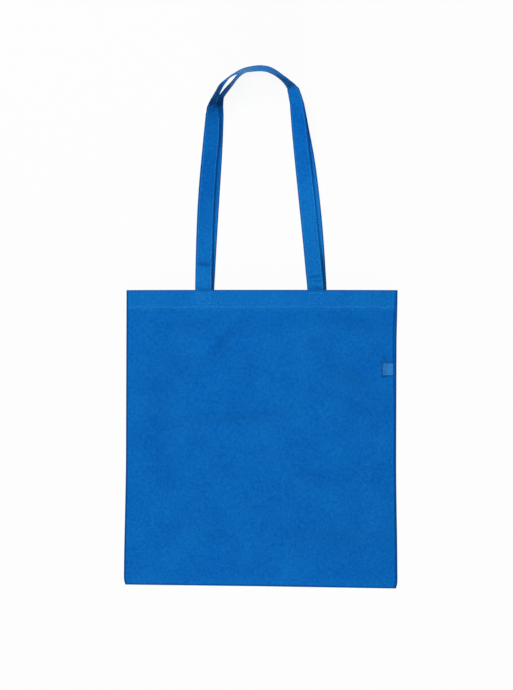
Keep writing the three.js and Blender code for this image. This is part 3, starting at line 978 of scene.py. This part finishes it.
def strap_rows(name, sheet, strap, thread):
    """Stitch lines along both edges of a handle, on both faces."""
    centres, width, face = handle_stations(name, sheet, strap)
    seen = centres[:, 1] > -STRAP_CLEAR
    rows = []
    for edge in (-1, 1):
        for up in (-1, 1):
            across = edge * (strap.width / 2 - strap.stitch_inset)
            rise = crease_rise(name, centres, np.array([across]), strap)
            out = up * (strap.thickness / 2 - strap.stitch_dip)
            line = centres + across * width + (out + rise) * face
            rows.append(stitch_row(line[seen], up * face[seen], thread))
    return rows


# Label

# Stations along each half of the tape and round its fold, and points across it
TAPE_STATIONS = 22
TAPE_TURN = np.radians(np.linspace(-90, 90, 11))[1:-1]
TAPE_POINTS = 16
# The tape thins towards its woven edges by this share, on a curve of this power
EDGE_THINNED = 0.6
EDGE_POWER = 14


def label_rings(sheet, label, strap):
    """The tape from the seam, round its fold and back to the seam, as rings of its thin section."""
    height = sheet.height - label.drop
    root = side_edge(sheet, 1, height) - seam_roll(sheet, height) - sheet.seam_groove_width / 2
    fold = label.length - label.ply - label.gap / 2

    def low(s):
        return front_height(sheet, root - s, height) + strap.sew_gap + label.lift * (s / label.length) ** 2

    out = np.linspace(0, fold, TAPE_STATIONS)
    radius = (label.gap + label.ply) / 2
    turn_x = root - fold - radius * np.cos(TAPE_TURN)
    turn_z = low(fold) + label.ply / 2 + radius + radius * np.sin(TAPE_TURN)
    x = np.concatenate([root - out, turn_x, root - out[::-1]])
    upper = low(out) + 1.5 * label.ply + mix(label.root_gap, label.gap, out / label.length)
    z = np.concatenate([low(out) + label.ply / 2, turn_z, upper[::-1]])
    line = side_by_side(x, z)
    along = unit(np.gradient(line, axis=0))
    across = np.linspace(-label.width / 2, label.width / 2, TAPE_POINTS)
    half = label.ply / 2 * (1 - EDGE_THINNED * np.abs(across / (label.width / 2)) ** EDGE_POWER)
    y = np.concatenate([across, across[::-1]])
    thick = np.concatenate([half, -half[::-1]])
    curl = label.curl * smooth(-y, 0, label.width / 2) * smooth(root - x, 0, label.length)[:, None]
    ring_x = x[:, None] + thick * along[:, 1, None]
    ring_z = z[:, None] - thick * along[:, 0, None] + curl
    place = side_by_side(y, run_lengths(line)[:, None])
    return side_by_side(ring_x, y - label.drop, ring_z)[:, ::-1], place[:, ::-1]


# Materials

# Scale at which a wave texture's bands repeat once a unit. Its diagonal bands are twice as wide.
WAVE_BANDS = math.pi / 10


def add_node(tree, kind, inputs, out=None, **settings):
    """Adds a shader node, sets it, sets or links its inputs, and gives the output of that name."""
    node = tree.nodes.new("ShaderNode" + kind)
    for name, value in settings.items():
        setattr(node, name, value)
    for name, value in inputs.items():
        socket = node.inputs[name]
        if isinstance(value, bpy.types.NodeSocket):
            tree.links.new(value, socket)
        else:
            socket.default_value = value
    return node.outputs[out] if out else None


def node_adder(owner):
    """Empties the nodes of a material or a world, and gives what adds new ones."""
    owner.use_nodes = True
    owner.node_tree.nodes.clear()
    return functools.partial(add_node, owner.node_tree)


def new_material(name):
    material = bpy.data.materials.get(name) or bpy.data.materials.new(name)
    return material, node_adder(material)


def rgba(colour_value):
    return (*colour_value, 1.0)


def per_metre(millimetres):
    """Pattern scale at which one repeat has this size."""
    return 1 / (millimetres * MM)


def spunbond_polypropylene(colours):
    """Spunbond polypropylene, a web of fine filaments bonded by hot dots.

    The eye sees a matt, slightly cloudy blue. The web is thicker in some spots than in others, filaments run
    mostly along the roll, and the bond dots are small and flat. Where layers lie together it is a little
    lighter. Painted shade darkens its edges, seams, folds, creases and hollows and the handles' rolled legs, a
    painted highlight makes the crowns paler, and seen along, loose filaments give a pale bloom.
    """
    material, add = new_material("spunbond_polypropylene")
    light, shade = rgba(colours.cloth_light), rgba(colours.cloth_shade)
    spot = add("TexCoord", {}, "Object")
    cloth = add("UVMap", {}, "UV", uv_map="cloth")
    # The marks: layers lying together, with painted shade on the rolled legs; painted shade; a painted
    # highlight
    marks = ("layers", "edge", "painted_highlight_mark")
    layers, edge, painted_highlight_mark = (add("Attribute", {}, "Fac", attribute_name=name) for name in marks)
    cloud = add("TexNoise", {"Vector": spot, "Scale": per_metre(45), "Detail": 1, "Roughness": 0.5}, "Fac")
    # Clumps of filaments are about 2 mm across. They are drawn at 3.4 mm, so that they show from a step away.
    clump = add("TexNoise", {"Vector": spot, "Scale": per_metre(3.4), "Detail": 3, "Roughness": 0.62}, "Fac")
    # Filaments are 0.02 mm thick. Bundles of them are drawn 0.8 mm wide and 9 mm long.
    bundles = add("Mapping", {"Vector": cloth, "Scale": (per_metre(0.8), per_metre(9), 1)}, "Vector")
    grain = {"Vector": bundles, "Scale": 1, "Detail": 2, "Roughness": 0.7}
    filament = add("TexNoise", grain, "Fac", noise_dimensions="2D")
    # Bond dots, about 1 mm across and 1.8 mm apart on the diagonal
    lattice = add("Mapping", {"Vector": cloth, "Rotation": (0, 0, math.pi / 4)}, "Vector")
    cells = {"Vector": lattice, "Scale": per_metre(1.8), "Randomness": 0}
    to_dot = add("TexVoronoi", cells, "Distance", voronoi_dimensions="2D")
    round_dot = {"Value": to_dot, "From Min": 0.18, "From Max": 0.36, "To Min": 1, "To Max": 0}
    dot = add("MapRange", round_dot, "Result", interpolation_type="SMOOTHSTEP")
    # How much web there is at a spot: clouds, clumps, filaments and the layers behind it
    web = 0.06
    for texture, share in ((cloud, 0.16), (clump, 0.5), (filament, 0.22)):
        web = add("Math", {0: texture, 1: share, 2: web}, "Value", operation="MULTIPLY_ADD")
    weight = add("Math", {0: layers, 1: 0.066, 2: web}, "Value", operation="MULTIPLY_ADD")
    thick = add("MapRange", {"Value": weight, "From Min": 0.407, "From Max": 0.593}, "Result", clamp=False)
    tint = add(
        "Mix", {"Factor": thick, "A": shade, "B": light}, "Result", data_type="RGBA", clamp_factor=False
    )
    bonded = add("Math", {0: dot, 1: 0.25}, "Value", operation="MULTIPLY")
    # Bond dots are a little darker, and painted shade and a painted highlight are mixed in by their marks
    for share, over in ((bonded, shade), (edge, rgba(colours.painted_shade)), (painted_highlight_mark, rgba(colours.painted_highlight))):
        tint = add("Mix", {"Factor": share, "A": tint, "B": over}, "Result", data_type="RGBA")
    matt = add("MapRange", {"Value": dot, "To Min": 0.6, "To Max": 0.5}, "Result")
    loose = add("Math", {0: dot, 1: -0.6, 2: web}, "Value", operation="MULTIPLY_ADD")
    bump = add("Bump", {"Height": loose, "Strength": 0.5, "Distance": 0.3 * MM}, "Normal")
    finish = {"Base Color": tint, "Roughness": matt, "Normal": bump, "IOR": 1.49, "Specular IOR Level": 0.01}
    bloom = {"Sheen Weight": 0.15, "Sheen Roughness": 0.3, "Sheen Tint": (0.1, 0.85, 1.0, 1.0)}
    add("OutputMaterial", {"Surface": add("BsdfPrincipled", finish | bloom, "BSDF")})
    return material


def woven_polyester_tape(colours):
    """Polyester satin tape, woven narrow with a smooth face.

    The eye sees a paler blue than the bag's, finely ribbed along the tape, with painted shade at its fold, its
    woven edges and its folded half, and a soft gloss.
    """
    material, add = new_material("woven_polyester_tape")
    cloth = add("UVMap", {}, "UV", uv_map="cloth")
    # Threads are 0.2 mm apart. The warp is drawn 2.2 mm apart and the weft 2.8 mm, so that the ribs show.
    ribs = {"Vector": cloth, "Scale": per_metre(2.2) * WAVE_BANDS, "Distortion": 1.2}
    warp = add("TexWave", ribs, "Fac", wave_type="BANDS", bands_direction="X")
    bars = {"Vector": cloth, "Scale": per_metre(2.8) * WAVE_BANDS, "Distortion": 1.6}
    weft = add("TexWave", bars, "Fac", wave_type="BANDS", bands_direction="Y")
    uneven = {"Vector": cloth, "Scale": per_metre(3), "Detail": 3, "Roughness": 0.6}
    slub = add("TexNoise", uneven, "Fac", noise_dimensions="2D")
    weave = add("Math", {0: warp, 1: weft}, "Value", operation="MULTIPLY")
    shade = add("Math", {0: weave, 1: 0.45, 2: slub}, "Value", operation="MULTIPLY_ADD")
    raised = add("MapRange", {"Value": shade, "From Min": 0.3, "From Max": 0.95}, "Result")
    woven = {"Factor": raised, "A": rgba(colours.tape_shade), "B": rgba(colours.tape)}
    tint = add("Mix", woven, "Result", data_type="RGBA")
    # The edge mark mixes in painted shade at the fold, the woven edges and the folded half
    edge = add("Attribute", {}, "Fac", attribute_name="edge")
    tint = add("Mix", {"Factor": edge, "A": tint, "B": rgba(colours.painted_shade)}, "Result", data_type="RGBA")
    gloss = add("MapRange", {"Value": slub, "To Min": 0.42, "To Max": 0.6}, "Result")
    bump = add("Bump", {"Height": weave, "Strength": 0.35, "Distance": 0.15 * MM}, "Normal")
    finish = {"Base Color": tint, "Roughness": gloss, "Normal": bump, "IOR": 1.55, "Specular IOR Level": 0.1}
    add("OutputMaterial", {"Surface": add("BsdfPrincipled", finish, "BSDF")})
    return material


def spun_polyester_thread(colours):
    """Spun polyester sewing thread, three plies twisted together and dyed to match the cloth.

    The eye sees fine slanting ribs with painted shade between, and a little more gloss than the cloth has.
    """
    material, add = new_material("spun_polyester_thread")
    ply_groove_shade = 0.72
    spot = add("TexCoord", {}, "Object")
    # Plies lie about 0.6 mm apart along the thread. They are drawn 2.4 mm apart, about one to a stitch.
    twist = {"Vector": spot, "Scale": 2 * per_metre(2.4) * WAVE_BANDS, "Distortion": 0.6}
    plies = add("TexWave", twist, "Fac", wave_type="BANDS", bands_direction="DIAGONAL")
    # Painted shade between the plies
    painted_ply_shade = rgba(ply_groove_shade * channel for channel in colours.thread)
    tint = add("Mix", {"Factor": plies, "A": painted_ply_shade, "B": rgba(colours.thread)}, "Result", data_type="RGBA")
    bump = add("Bump", {"Height": plies, "Strength": 0.4, "Distance": 0.08 * MM}, "Normal")
    finish = {"Base Color": tint, "Normal": bump, "Roughness": 0.6, "IOR": 1.55, "Specular IOR Level": 0.06}
    add("OutputMaterial", {"Surface": add("BsdfPrincipled", finish, "BSDF")})
    return material


def seen_share(add):
    """1 on rays from the camera, also by way of gloss or glass, and 0 on those that light the bag."""
    rays = ("Camera", "Glossy", "Transmission")
    camera, glossy, clear = (add("LightPath", {}, f"Is {ray} Ray") for ray in rays)
    mirrored = add("Math", {0: glossy, 1: clear}, "Value", operation="MAXIMUM")
    return add("Math", {0: camera, 1: mirrored}, "Value", operation="MAXIMUM")


def white_table(colours):
    """A white table top that shows as the plain white of a cut-out picture, with a faint shadow kept."""
    material, add = new_material("white_table")
    whitened = 0.92
    lifted = add("Math", {0: seen_share(add), 1: whitened}, "Value", operation="MULTIPLY")
    paint = add("BsdfDiffuse", {"Color": rgba(colours.floor), "Roughness": 0.3}, "BSDF")
    white = add("Emission", {"Color": (1, 1, 1, 1), "Strength": 1}, "Emission")
    add("OutputMaterial", {"Surface": add("MixShader", {0: lifted, 1: paint, 2: white}, "Shader")})
    return material


# Operators

# The ring on which the cloth's places across the bag are measured
MEASURED_RING = 40


class CARRIER_OT_sheet(bpy.types.Operator):
    """Models the folded, hemmed and side-sewn sheet"""

    bl_idname = "carrier.sheet"
    bl_label = "Bag sheet"

    def execute(self, context):
        scene = context.scene
        sheet = scene.carrier_sheet
        rings, places, layers = sheet_rings(sheet, scene.carrier_thread)
        around = run_lengths(rings[MEASURED_RING])
        place = side_by_side(around, places[:, None])
        cloth = spunbond_polypropylene(scene.carrier_colours)
        piece = loft("bag_sheet", rings + bag_origin(sheet), place, cloth)
        mark(piece, "layers", np.repeat(layers, rings.shape[1]))
        # The edge mark carries painted shade
        mark(piece, "edge", sheet_painted_shade(sheet, rings))
        fasten(piece, "bag_body")
        return {"FINISHED"}


class CARRIER_OT_handles(bpy.types.Operator):
    """Models the two folded and twisted handles"""

    bl_idname = "carrier.handles"
    bl_label = "Handles"

    def execute(self, context):
        scene = context.scene
        sheet, strap = scene.carrier_sheet, scene.carrier_strap
        outline = strap_section(strap)
        across = outline[:, 0]
        cloth = spunbond_polypropylene(scene.carrier_colours)
        for name in HANDLES:
            centres, width, face = handle_stations(name, sheet, strap)
            out = outline[:, 1] + crease_rise(name, centres, across, strap)
            rings = centres[:, None] + across[:, None] * width[:, None] + out[:, :, None] * face[:, None]
            run = run_lengths(centres)
            place = side_by_side(across, run[:, None])
            piece = loft(name + "_strap", rings + bag_origin(sheet), place, cloth)
            # Marks: layers, with painted shade on the rolled legs; painted shade; and a painted highlight on
            # the crowns
            mark(piece, "layers", np.repeat(layers_and_leg_shade(centres), len(across)))
            mark(piece, "edge", strap_painted_shade(name, centres, across, strap))
            mark(piece, "painted_highlight_mark", np.repeat(painted_highlight_share(centres), len(across)))
            fasten(piece, name)
        return {"FINISHED"}


class CARRIER_OT_label(bpy.types.Operator):
    """Models the folded tape in the right side seam"""

    bl_idname = "carrier.label"
    bl_label = "Seam label"

    def execute(self, context):
        scene = context.scene
        sheet, label = scene.carrier_sheet, scene.carrier_label
        rings, place = label_rings(sheet, label, scene.carrier_strap)
        tape = woven_polyester_tape(scene.carrier_colours)
        piece = loft("label_tape", rings + bag_origin(sheet), place, tape)
        across, run = place[..., 0], place[..., 1]
        from_fold = np.abs(run - run.max() / 2)
        # Painted shadow at the fold, and painted shade along the woven edges and over the folded half
        folded = painted_shade("tape_fold", from_fold)
        tape_edge_shade = painted_shade("tape_edge", label.width / 2 - np.abs(across))
        painted_crease_shade = TAPE_PAINTED_SHADE * smooth(from_fold / label.length, *TAPE_FADE)
        mark(piece, "edge", np.max([folded, tape_edge_shade, painted_crease_shade], axis=0))
        fasten(piece, "side_label")
        return {"FINISHED"}


class CARRIER_OT_sewing(bpy.types.Operator):
    """Sews the hems, the strap ends and the strap edges"""

    bl_idname = "carrier.sewing"
    bl_label = "Sewing"

    def execute(self, context):
        scene = context.scene
        sheet, strap, thread = scene.carrier_sheet, scene.carrier_strap, scene.carrier_thread
        material = spun_polyester_thread(scene.carrier_colours)
        for side, side_of_bag in (("front", on_front), ("back", on_back)):
            name = side + "_handle"
            rows = {
                side + "_hem_stitches": hem_rows(sheet, thread, side_of_bag),
                side + "_box_stitches": box_rows(sheet, strap, thread, name, side_of_bag),
                side + "_strap_stitches": strap_rows(name, sheet, strap, thread),
            }
            for piece_name, found in rows.items():
                piece = stitching(piece_name, [row + bag_origin(sheet) for row in found], material)
                fasten(piece, "bag_body", replaces=False)
        return {"FINISHED"}


# The photograph's view, straight down: the camera in millimetres from the part's origin, the picture's height
# and the focal length in pixels, and the sensor's height in millimetres
CAMERA_AT = (-5.80, -22.97, 1709)
PICTURE_HEIGHT = 690
FOCAL_PIXELS = 1205.7
SENSOR = 24

# Lamps: name, place and size in metres, watts
LAMPS = [
    ("key", (-0.8, 2.2, 4.0), 2.6, 203),
    ("near", (-0.4, -5.6, 1.5), 1.8, 240),
]
# White surroundings: brightness straight up and at the horizon
WORLD_TOP = 0.06
WORLD_HORIZON = 0.03
# Half the floor's side, in metres, and its height, just under the back's stitches
FLOOR_HALF = 4.0
FLOOR_HEIGHT = -0.3 * MM


class CARRIER_OT_stage(bpy.types.Operator):
    """Sets up the floor, the lamps, the white surroundings and the camera"""

    bl_idname = "carrier.stage"
    bl_label = "Stage"

    def execute(self, context):
        scene = context.scene
        self.floor(scene)
        self.lamps(scene)
        self.surroundings(scene)
        self.camera(scene)
        scene.view_settings.view_transform = "Standard"
        return {"FINISHED"}

    def floor(self, scene):
        corners = [(-1, -1), (1, -1), (1, 1), (-1, 1)]
        points = np.array([(x * FLOOR_HALF, y * FLOOR_HALF, FLOOR_HEIGHT) for x, y in corners])
        mesh_object("floor", points, [(0, 1, 2, 3)], white_table(scene.carrier_colours))

    def lamps(self, scene):
        aim = bpy.data.objects.new("lamp_aim", None)
        scene.collection.objects.link(aim)
        for name, place, size, watts in LAMPS:
            light = bpy.data.lights.new(name, "AREA")
            light.energy = watts
            light.size = size
            lamp = bpy.data.objects.new(name, light)
            lamp.location = place
            scene.collection.objects.link(lamp)
            follow = lamp.constraints.new("TRACK_TO")
            follow.target = aim
            follow.track_axis = "TRACK_NEGATIVE_Z"
            follow.up_axis = "UP_Y"

    def surroundings(self, scene):
        world = bpy.data.worlds.new("white_studio")
        add = node_adder(world)
        toward = add("TexCoord", {}, "Generated")
        up = add("SeparateXYZ", {"Vector": toward}, "Z")
        shade = add("MapRange", {"Value": up, "To Min": WORLD_HORIZON, "To Max": WORLD_TOP}, "Result")
        strength = add("MapRange", {"Value": seen_share(add), "To Min": shade, "To Max": 1}, "Result")
        sky = add("Background", {"Color": (1, 1, 1, 1), "Strength": strength}, "Background")
        add("OutputWorld", {"Surface": sky})
        scene.world = world

    def camera(self, scene):
        data = bpy.data.cameras.new("camera")
        data.sensor_fit = "VERTICAL"
        data.sensor_height = SENSOR
        data.lens = FOCAL_PIXELS * SENSOR / PICTURE_HEIGHT
        camera = bpy.data.objects.new("camera", data)
        camera.location = [value * MM for value in CAMERA_AT]
        scene.collection.objects.link(camera)
        scene.camera = camera


GROUPS = {
    "carrier_sheet": SheetSizes,
    "carrier_strap": StrapSizes,
    "carrier_label": LabelSizes,
    "carrier_thread": ThreadSizes,
    "carrier_colours": BagColours,
}
STEPS = [CARRIER_OT_sheet, CARRIER_OT_handles, CARRIER_OT_label, CARRIER_OT_sewing, CARRIER_OT_stage]


class CARRIER_PT_sidebar(bpy.types.Panel):
    """Lists the sizes, the colours and the steps"""

    bl_idname = "CARRIER_PT_sidebar"
    bl_label = "Carrier bag"
    bl_space_type = "VIEW_3D"
    bl_region_type = "UI"
    bl_category = "Carrier bag"

    def draw(self, context):
        for name, group in GROUPS.items():
            column = self.layout.box().column()
            for size in group.__annotations__:
                column.prop(getattr(context.scene, name), size)
        for step in STEPS:
            self.layout.operator(step.bl_idname)


CLASSES = [*GROUPS.values(), *STEPS, CARRIER_PT_sidebar]


def register():
    for made in CLASSES:
        bpy.utils.register_class(made)
    for name, group in GROUPS.items():
        setattr(bpy.types.Scene, name, bpy.props.PointerProperty(type=group))


def unregister():
    for name in GROUPS:
        delattr(bpy.types.Scene, name)
    for made in reversed(CLASSES):
        bpy.utils.unregister_class(made)


def main():
    register()
    bpy.ops.carrier.sheet()
    bpy.ops.carrier.handles()
    bpy.ops.carrier.label()
    bpy.ops.carrier.sewing()
    bpy.ops.carrier.stage()


if __name__ == "__main__":
    main()
